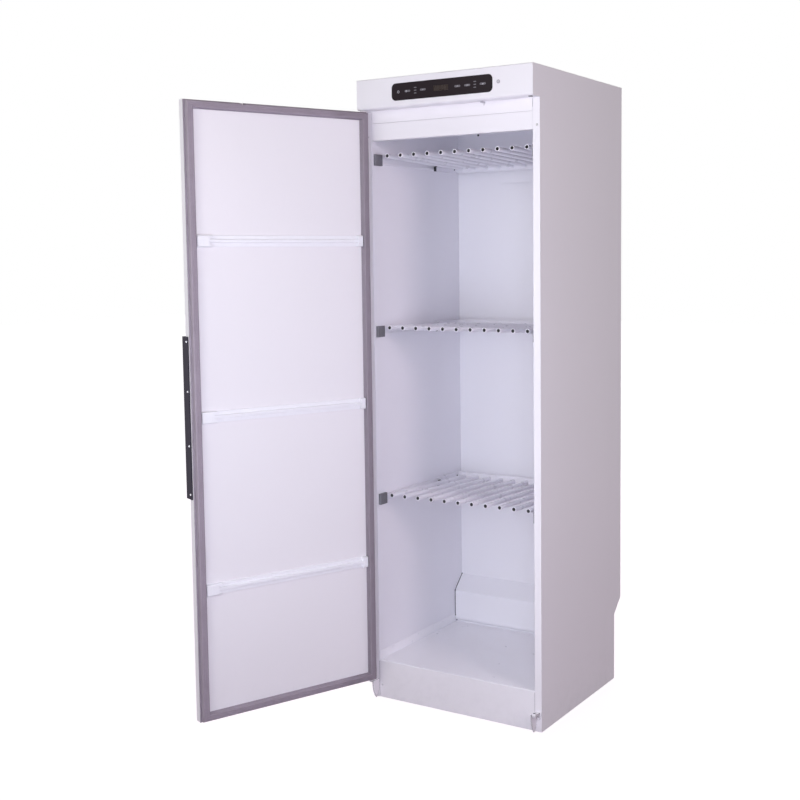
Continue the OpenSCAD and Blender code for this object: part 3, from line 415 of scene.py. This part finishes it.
mats["bracket"] = bracket_enamel("bracket_enamel", WHITE)
mats["bush"] = cap_plastic("open_bush", (0.84, 0.82, 0.86))
mats["button"] = button_plastic("push_button", (0.33, 0.315, 0.345))
mats["peg"] = plastic("switch_peg", (0.56, 0.54, 0.59))
mats["film"] = film_black()
mats["display"] = display_film()
mats["ink"] = print_ink("key_print", (0.105, 0.095, 0.112))
mats["symbol"] = print_ink("key_symbols", (0.46, 0.44, 0.48))
mats["segment"] = print_ink("display_segments", (0.040, 0.026, 0.022))
# near-black plastic for painted shade in narrow gaps: on the seal at the glove bars' ends and in the back sheet's
# corners
mats["seam"] = plastic("shadow_joint", (0.05, 0.045, 0.06), rough=(0.6, 0.75))
# grey plastic for painted shade in the joints beside the kick plate
mats["joint"] = plastic("gap_shade_grey", (0.22, 0.20, 0.23), rough=(0.6, 0.75))
mats["sealant"] = plastic("sealant", (0.80, 0.78, 0.84), rough=(0.34, 0.44), grain=300.0, strength=0.05, vary=0.01)
mats["tip"] = plastic("slide_tip", (0.022, 0.020, 0.026), rough=(0.4, 0.5))
mats["weld"] = enamel("enamel_weld", (0.80, 0.78, 0.84), rough=(0.3, 0.4), lumps=0.08)
mats["gasket"] = rubber("gasket_rubber", (0.310, 0.262, 0.315))
mats["foot"] = rubber("foot_rubber", (0.035, 0.034, 0.036))
mats["board"] = board()
mats["felt"] = felt()
mats["motor"] = plastic("motor_casting", (0.12, 0.125, 0.13), rough=(0.4, 0.6), grain=600.0, strength=0.25)
mats["heater"] = brushed("heater_rod", (0.36, 0.32, 0.30), (200.0, 60.0, 200.0), (0.3, 0.5))

BY_NODE = {
    "liner_left": "liner", "liner_right": "liner", "liner_back": "liner", "ceiling_panel": "liner",
    "duct_cover": "liner", "floor_tray": "tray", "tray_rivets": "tray",
    "base_frame": "zinc", "fan_housing": "zinc", "heater_duct": "zinc",
    "fan_wheel": "zinc", "levelling_feet": "foot", "insulation_sides": "felt", "insulation_back": "felt",
    "door_core": "felt", "control_panel": "film", "display_window": "display", "key_marks": "ink",
    "control_board": "board", "button_switch": "grey_plastic", "round_button": "button",
    "door_switch": "dark_plastic", "switch_plunger": "peg", "spare_cap": "bush", "spare_bracket": "bracket",
    "hinge_bracket_lower": "bracket",
    "rail_clips": "grey_plastic", "fan_motor": "motor", "heating_element": "heater",
    "humidity_sensor": "dark_plastic", "cable_gland": "dark_plastic", "cabinet_screws": "screw",
    "handle_screws": "screw", "door_gasket": "gasket", "hinge_bushes": "grey_plastic",
    "door_handle": "handle", "glove_bars": "white_plastic", "glove_bar_caps": "white_plastic",
    "exhaust_spigot": "white_plastic", "rack_screws_top": "dark_plastic",
    "rack_screws_middle": "dark_plastic", "rack_screws_bottom": "dark_plastic", "wall_rails": "liner",
    "rack_top_tubes": "tube", "rack_middle_tubes": "tube", "rack_bottom_tubes": "tube",
    "rack_top_frame": "rack", "rack_middle_frame": "rack", "rack_bottom_frame": "rack",
}
for name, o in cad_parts.items():
    chosen = mats[BY_NODE.get(name, "enamel")]
    if not o.material_slots:
        o.data.materials.append(chosen)
    for s in o.material_slots:
        s.material = chosen


# ---------------------------------------------------------------- pieces
def piece(name, bm, body, mat, smooth=False, matrix=None):
    me = bpy.data.meshes.new(name)
    if matrix is not None:
        bm.transform(matrix)
    bmesh.ops.recalc_face_normals(bm, faces=bm.faces)
    bm.to_mesh(me)
    bm.free()
    if smooth:
        me.polygons.foreach_set("use_smooth", [True] * len(me.polygons))
        me.set_sharp_from_angle(angle=math.radians(38))
    o = bpy.data.objects.new(name, me)
    bpy.context.scene.collection.objects.link(o)
    me.materials.append(mat)
    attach(o, body)
    return o


def bar(bm, a, b, w, h, up=(0, 0, 1), bevel=0.0, segments=2):
    """A bar from a to b, w across and h along up, with rounded edges."""
    a, b, up = Vector(a), Vector(b), Vector(up)
    run = (b - a).normalized()
    side = run.cross(up).normalized()
    up = side.cross(run).normalized()
    ring = [side * (i * w / 2) + up * (k * h / 2) for i, k in ((-1, -1), (1, -1), (1, 1), (-1, 1))]
    v = [bm.verts.new(p + r) for p in (a, b) for r in ring]
    f = [bm.faces.new(v[:4]), bm.faces.new(v[4:])]
    f += [bm.faces.new((v[i], v[(i + 1) % 4], v[4 + (i + 1) % 4], v[4 + i])) for i in range(4)]
    if bevel:
        e = list({e for x in f for e in x.edges})
        bmesh.ops.bevel(bm, geom=e, offset=bevel, segments=segments, affect="EDGES", profile=0.5)


def frame_sweep(bm, profile, x0, x1, z0, z1, relief):
    """Sweeps a closed profile of (inset, y) round a rectangle, with mitred corners and a relief in the top run."""
    rings = []
    for sx, sz in ((0, 0), (1, 0), (1, 1), (0, 1)):
        ring = []
        for inset, y in profile:
            x = x0 + inset if sx == 0 else x1 - inset
            z = z0 + inset if sz == 0 else z1 - inset
            ring.append(bm.verts.new((x, y, z)))
        rings.append(ring)
    at, half, depth = relief
    slant = 0.001
    cut = [(at + half, 0.0), (at + half - slant, depth), (at - half + slant, depth), (at - half, 0.0)]
    rings[3:3] = [[bm.verts.new((x, y, z1 - max(inset, least))) for inset, y in profile] for x, least in cut]
    n = len(profile)
    for i in range(len(rings)):
        a, b = rings[i], rings[(i + 1) % len(rings)]
        for k in range(n):
            bm.faces.new((a[k], a[(k + 1) % n], b[(k + 1) % n], b[k]))


def gasket():
    """Magnetic bellows seal: lip along the leaf's edge, three folds and a cushioned, ribbed face."""
    outer = [(0.0003, 0.0), (0.0003, 0.0022), (0.0012, 0.0038), (0.0030, 0.0046), (0.0042, 0.0042),
             (0.0046, 0.0050), (0.0041, 0.0062), (0.0038, 0.0080), (0.0050, 0.0092), (0.0052, 0.0104),
             (0.0042, 0.0116), (0.0037, 0.0134), (0.0040, 0.0156), (0.0049, 0.0174), (0.0066, 0.0187)]
    face = [(0.0084, 0.01915), (0.0104, 0.01905), (0.0109, 0.0180), (0.0118, 0.0180), (0.0123, 0.01905),
            (0.0142, 0.0191), (0.0161, 0.01905), (0.0166, 0.0182), (0.0174, 0.0182), (0.0179, 0.01905)]
    inner = [(0.0205, 0.0190), (0.0226, 0.0178), (0.0238, 0.0160), (0.0241, 0.0136), (0.0236, 0.0118),
             (0.0222, 0.0104), (0.0223, 0.0092), (0.0237, 0.0080), (0.0242, 0.0064), (0.0236, 0.0050),
             (0.0228, 0.0042), (0.0240, 0.0030), (SEAL_W, 0.0018), (SEAL_W, 0.0)]
    profile = [(inset, FRONT + LEAF_IN + out) for inset, out in outer + face + inner]
    peg_relief = (PEG_X, 0.0065, 0.0080)     # its middle, half its length, and its depth
    bm = bmesh.new()
    frame_sweep(bm, profile, -DOOR_HALF, DOOR_HALF, *DOOR_Z, peg_relief)
    o = piece("door_seal", bm, "door", mats["gasket"], smooth=True, matrix=DOOR_M)
    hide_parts("door_gasket")


def bar_end_shadows():
    """Dark strips of painted shade on the seal, where the glove bars' hinge-side ends meet it."""
    bm = bmesh.new()
    half = 0.017
    x, y = -DOOR_HALF + SEAL_W - 0.0001, FRONT + LEAF_IN + 0.0042
    for i in range(BAR_COUNT):
        z = BAR_Z + i * BAR_PITCH
        bar(bm, (x, y, z - half), (x, y, z + half), 0.0014, 0.0082, up=(0, 1, 0), bevel=0.0005)
    piece("bar_end_shadows", bm, "door", mats["seam"], matrix=DOOR_M)


# ---------------------------------------------------------------- controls
# x of the key symbols
KEYS = {"on": -0.1466, "timer": -0.1146, "less": -0.061, "cold": 0.0559, "warm": 0.0887, "lock": 0.1395}


def on_panel(x, z):
    return x, FILM_Y, PANEL_Z + z


def stroke(bm, x0, z0, x1, z1, w=0.0007):
    bar(bm, on_panel(x0, z0), on_panel(x1, z1), w, 0.00016, up=(0, 1, 0), bevel=0.00005, segments=1)


def key_symbols():
    """Generic printed symbols: a switch ring, clock, minus, fan blades, waves and a padlock."""
    bm = bmesh.new()

    def ring(x, z, r, a0, a1, n=14, w=0.0007):
        t = [math.radians(a0 + (a1 - a0) * i / n) for i in range(n + 1)]
        for p, q in zip(t, t[1:]):
            stroke(bm, x + r * math.cos(p), z + r * math.sin(p), x + r * math.cos(q), z + r * math.sin(q), w)

    x = KEYS["on"]
    ring(x, -0.0004, 0.0031, 125, 415, w=0.0013)
    stroke(bm, x, 0.0008, x, 0.0042, 0.0013)
    x = KEYS["timer"]
    ring(x - 0.0042, 0, 0.0021, 0, 360, 10, w=0.0013)
    stroke(bm, x - 0.0042, 0, x - 0.0042, 0.0013, 0.0009)
    stroke(bm, x - 0.0042, 0, x - 0.0032, 0, 0.0009)
    x = KEYS["less"]
    stroke(bm, x - 0.0022, 0, x + 0.0022, 0, 0.0009)
    x = KEYS["cold"]
    for a in (90, 210, 330):
        ring(x + 0.001 * math.cos(math.radians(a)), 0.001 * math.sin(math.radians(a)), 0.0011, a - 100, a + 60, 6)
    x = KEYS["warm"]
    for k in (-1, 0, 1):
        ring(x + 0.0026 * k, 0.0011, 0.0011, -70, 90, 4)
        ring(x + 0.0026 * k, -0.0011, 0.0011, 110, 270, 4)
    x = KEYS["lock"]
    stroke(bm, x - 0.0021, -0.0010, x + 0.0021, -0.0010, 0.0024)
    ring(x, 0.0002, 0.0014, 0, 180, 6)
    piece("key_symbols", bm, "cabinet", mats["symbol"])


def display_segments():
    """Two pairs of unlit figures behind the tinted window, with the dots between them."""
    bm = bmesh.new()

    def seg(x0, z0, x1, z1):
        bar(bm, (x0, DISPLAY_Y, PANEL_Z + z0), (x1, DISPLAY_Y, PANEL_Z + z1), 0.0011, 0.00012,
            up=(0, 1, 0), bevel=0.00004, segments=1)

    for cx in (-0.0165, -0.0075, 0.0055, 0.0145):
        a, h = 0.0026, 0.0050
        for z in (-h, 0, h):
            seg(cx - a + 0.0008, z, cx + a - 0.0008, z)
        for sx in (-a, a):
            seg(cx + sx, 0.0008, cx + sx, h - 0.0008)
            seg(cx + sx, -0.0008, cx + sx, -h + 0.0008)
    for z in (-0.0022, 0.0022):
        seg(-0.0016, z, -0.0004, z)
    piece("display_segments", bm, "cabinet", mats["segment"])


def switch_rib():
    """Guide rib of the door switch, on the header under the peg."""
    bm = bmesh.new()
    top, bottom, y = 1.8198, 1.8150, FRONT - 0.0002
    bar(bm, (PEG_X, y, top), (PEG_X, y, bottom), 0.0026, 0.0024, up=(0, 1, 0), bevel=0.0006)
    piece("switch_rib", bm, "cabinet", mats["peg"])


# ---------------------------------------------------------------- drying space
# corners of the stepped back sheet, as (y, z), from the top down
STEP = [(FRONT + 0.510, 0.278), (FRONT + 0.462, 0.230), (FRONT + 0.462, FLOOR + 0.024),
        (FRONT + 0.4715, FLOOR + 0.004)]


def corner_seams():
    """Dark strips of painted shadow where the stepped back sheet meets each side wall, with dark blocks of painted
    shade at its corner reliefs.
    """
    bm = bmesh.new()
    for s in (-1, 1):
        x = s * (INNER - 0.0011)
        for (y0, z0), (y1, z1) in zip(STEP, STEP[1:]):
            up = (0, -0.6, 0.8) if y0 != y1 else (0, 1, 0)
            bar(bm, (x, y0, z0), (x, y1, z1), 0.0022, 0.0024, up=up, bevel=0.0005)
        for y, z in STEP:
            xr = x - s * 0.0006
            bar(bm, (xr, y - 0.0024, z), (xr, y + 0.0024, z), 0.0036, 0.0046, bevel=0.0010)
    piece("corner_seams", bm, "cabinet", mats["seam"])


def step_bead():
    """Fillet of sealant on the tray, along the foot of the stepped back sheet."""
    bm = bmesh.new()
    stations = 44
    end, middle_y = INNER - 0.0022, FRONT + 0.4740
    loops = []
    for i in range(stations + 1):
        x = -end + 2 * end * i / stations
        swell = 1 + 0.10 * math.sin(i * 1.9) + 0.06 * math.sin(i * 4.7 + 1)
        section = [(-0.0046 * swell, 0.0), (-0.0036 * swell, 0.0016), (-0.0022 * swell, 0.0032 * swell),
                   (0.0008, 0.0044), (0.0030, 0.0036), (0.0050, 0.0)]
        loops.append([bm.verts.new((x, middle_y + dy, FLOOR + dz)) for dy, dz in section])
    for a, b in zip(loops, loops[1:]):
        for k in range(len(a)):
            q = (k + 1) % len(a)
            bm.faces.new((a[k], a[q], b[q], b[k]))
    bm.faces.new(loops[0])
    bm.faces.new(loops[-1])
    piece("step_bead", bm, "cabinet", mats["sealant"], smooth=True)


def slide_tips():
    """Dark moulded stops on the front ends of each rack's slides, hooked round the web's end."""
    for rack, z in RACKS.items():
        bm = bmesh.new()
        for s in (-1, 1):
            x, y = s * SLIDE_WEB, SLIDE_END
            stop_z, hook_x, hook_z = z - 0.0092, x - s * 0.0012, z + 0.0030
            bar(bm, (x, y - 0.0105, stop_z), (x, y + 0.0012, stop_z), 0.0036, 0.0150, bevel=0.0011)
            bar(bm, (hook_x, y - 0.0070, hook_z), (hook_x, y + 0.0060, hook_z), 0.0022, 0.0100, bevel=0.0007)
        piece(rack.replace("rack", "slide_tips"), bm, rack, mats["tip"], smooth=True)


def kick_joints():
    """Grey strips of painted shade in the narrow joints between the kick plate and the flanges."""
    bm = bmesh.new()
    y = FRONT + 0.0004
    for x in (-INNER, INNER):
        for z0, z1 in ((0.004, 0.060), (0.060, 0.1160)):
            bar(bm, (x, y, z0), (x, y, z1), 0.0011, 0.0011, up=(0, 1, 0), bevel=0.0003)
    piece("kick_joints", bm, "cabinet", mats["joint"])


def weld_beads():
    """Weld beads round each tube where it meets the crossbar."""
    turns = 20
    root, back = TUBE_R - 0.0002, -0.0002
    for rack, z in RACKS.items():
        bm = bmesh.new()
        for k in range(-TUBES_ASIDE, TUBES_ASIDE + 1):
            centre = Vector((k * TUBE_PITCH, TUBE_END[0], z))
            loops = []
            for i in range(turns):
                t = 2 * math.pi * i / turns
                lump = 0.0011 + 0.00022 * math.sin(5 * t + k)
                d = Vector((math.cos(t), 0, math.sin(t)))
                section = [(root, back), (root, -lump * 1.6), (TUBE_R + lump * 0.8, -lump),
                           (TUBE_R + lump * 1.5, back)]
                loops.append([bm.verts.new(centre + d * r + Vector((0, y, 0))) for r, y in section])
            for i in range(turns):
                a, b = loops[i], loops[(i + 1) % turns]
                for q in range(4):
                    bm.faces.new((a[q], a[(q + 1) % 4], b[(q + 1) % 4], b[q]))
        piece(rack.replace("rack", "weld_beads"), bm, rack, mats["weld"], smooth=True)


def blanking_plug():
    """Plug in the fascia's unused hinge slot on the other hand."""
    bm = bmesh.new()
    y, z = FRONT - 0.0285, 1.8253
    bar(bm, (HALF_W - 0.019, y, z), (HALF_W - 0.0095, y, z), 0.010, 0.0018, bevel=0.0005)
    piece("blanking_plug", bm, "cabinet", mats["dark_plastic"])


gasket()
bar_end_shadows()
key_symbols()
display_segments()
switch_rib()
corner_seams()
step_bead()
slide_tips()
kick_joints()
weld_beads()
blanking_plug()


# ---------------------------------------------------------------- stage, lights and camera
def looked_at(t):
    """1 for rays from the camera and for what gloss and glass show, 0 for light that falls on things."""
    lp = t.nodes.new("ShaderNodeLightPath")
    a = t.nodes.new("ShaderNodeMath")
    b = t.nodes.new("ShaderNodeMath")
    a.operation = b.operation = "MAXIMUM"
    t.links.new(lp.outputs["Is Camera Ray"], a.inputs[0])
    t.links.new(lp.outputs["Is Glossy Ray"], a.inputs[1])
    t.links.new(a.outputs[0], b.inputs[0])
    t.links.new(lp.outputs["Is Transmission Ray"], b.inputs[1])
    return b.outputs[0]


def stage_floor():
    """White floor that keeps the object's shadow and brightens away from it."""
    bpy.ops.mesh.primitive_plane_add(size=40, location=(0, 0, 0))
    o = bpy.context.object
    o.name = "floor"
    m = bpy.data.materials.new("floor_white")
    m.use_nodes = True
    t = m.node_tree
    t.nodes.clear()
    out = t.nodes.new("ShaderNodeOutputMaterial")
    add = t.nodes.new("ShaderNodeAddShader")
    dif = t.nodes.new("ShaderNodeBsdfDiffuse")
    dif.inputs["Color"].default_value = (0.22, 0.15, 0.205, 1)
    em = t.nodes.new("ShaderNodeEmission")
    co = t.nodes.new("ShaderNodeTexCoord")
    away = t.nodes.new("ShaderNodeVectorMath")
    away.operation = "LENGTH"
    t.links.new(co.outputs["Object"], away.inputs[0])
    rise = t.nodes.new("ShaderNodeMapRange")
    rise.interpolation_type = "SMOOTHSTEP"
    rise.inputs["From Min"].default_value = 1.2
    rise.inputs["From Max"].default_value = 5.0
    rise.inputs["To Min"].default_value = 0.90
    rise.inputs["To Max"].default_value = 1.02
    t.links.new(away.outputs["Value"], rise.inputs["Value"])
    mul = t.nodes.new("ShaderNodeMath")
    mul.operation = "MULTIPLY"
    t.links.new(looked_at(t), mul.inputs[0])
    t.links.new(rise.outputs[0], mul.inputs[1])
    t.links.new(mul.outputs[0], em.inputs["Strength"])
    t.links.new(dif.outputs[0], add.inputs[0])
    t.links.new(em.outputs[0], add.inputs[1])
    t.links.new(add.outputs[0], out.inputs[0])
    o.data.materials.append(m)


def studio():
    """A world that is white where it is looked at and a soft, faint light elsewhere."""
    world = bpy.data.worlds.new("studio")
    bpy.context.scene.world = world
    world.use_nodes = True
    t = world.node_tree
    t.nodes.clear()
    out = t.nodes.new("ShaderNodeOutputWorld")
    soft = t.nodes.new("ShaderNodeBackground")
    soft.inputs[0].default_value = (0.93, 0.92, 1.0, 1)
    soft.inputs[1].default_value = 0.18
    seen = t.nodes.new("ShaderNodeBackground")
    seen.inputs[0].default_value = (1, 1, 1, 1)
    seen.inputs[1].default_value = 1.0
    mix = t.nodes.new("ShaderNodeMixShader")
    t.links.new(looked_at(t), mix.inputs[0])
    t.links.new(soft.outputs[0], mix.inputs[1])
    t.links.new(seen.outputs[0], mix.inputs[2])
    t.links.new(mix.outputs[0], out.inputs[0])


def area(name, place, target, size, power, colour):
    """An area lamp of size (width, height) at place, turned to target."""
    d = bpy.data.lights.new(name, "AREA")
    d.shape = "RECTANGLE"
    d.size, d.size_y = size
    d.energy = power
    d.color = colour
    o = bpy.data.objects.new(name, d)
    o.location = place
    o.rotation_mode = "QUATERNION"
    o.rotation_quaternion = (Vector(target) - Vector(place)).to_track_quat("-Z", "Y")
    bpy.context.scene.collection.objects.link(o)


stage_floor()
studio()
area("key_front", (0.3, -4.2, 2.0), (0, -0.2, 1.3), (1.0, 1.0), 19.5, (1.0, 0.965, 0.93))
area("edge_left", (-2.4, -2.4, 1.5), (-0.3, -0.5, 1.1), (0.8, 0.8), 10, (1.0, 0.98, 1.0))
area("key_left", (-0.4, -2.9, 1.9), (0, -0.2, 1.3), (1.5, 1.5), 12.5, (0.97, 1.0, 0.92))
area("side_right", (3.0, -1.4, 1.9), (0, -0.3, 1.4), (0.8, 0.8), 29, (1.0, 0.85, 0.885))
area("fill_low", (0.9, -2.1, 0.95), (0, 0.1, 1.75), (1.1, 1.1), 27.5, (0.81, 0.875, 1.0))
area("back_soft", (-0.6, 3.7, 2.3), (0, 0.2, 1.1), (2.0, 2.0), 85, (1.0, 0.97, 1.0))
area("back_left", (-3.6, 0.9, 1.9), (-0.3, 0, 1.0), (1.6, 1.6), 50, (1.0, 0.97, 1.0))


# the photograph's calibrated view
PICTURE = 800                          # width and height, in pixels
FOCAL = 1186.06                        # in pixels
CENTRE = (445.88, 361.45)              # principal point, in pixels
EYE = (1.82597, FRONT - 2.9937, 1.38105)
YAW, PITCH, ROLL = (math.radians(a) for a in (31.63, -4.98, -0.58))


def camera():
    ahead = Vector((-math.sin(YAW) * math.cos(PITCH), math.cos(YAW) * math.cos(PITCH), math.sin(PITCH)))
    level = Vector((math.cos(YAW), math.sin(YAW), 0))
    upright = level.cross(ahead)
    right = math.cos(ROLL) * level + math.sin(ROLL) * upright
    up = -math.sin(ROLL) * level + math.cos(ROLL) * upright
    d = bpy.data.cameras.new("camera")
    d.sensor_width = 36
    d.lens = FOCAL / PICTURE * d.sensor_width
    d.shift_x = (PICTURE / 2 - CENTRE[0]) / PICTURE
    d.shift_y = (CENTRE[1] - PICTURE / 2) / PICTURE
    d.clip_end = 100
    o = bpy.data.objects.new("camera", d)
    m = Matrix((right, up, -ahead)).transposed().to_4x4()
    m.translation = Vector(EYE)
    o.matrix_world = m
    bpy.context.scene.collection.objects.link(o)
    bpy.context.scene.camera = o


camera()
bpy.context.scene.view_settings.view_transform = "Standard"

bpy.context.view_layer.update()
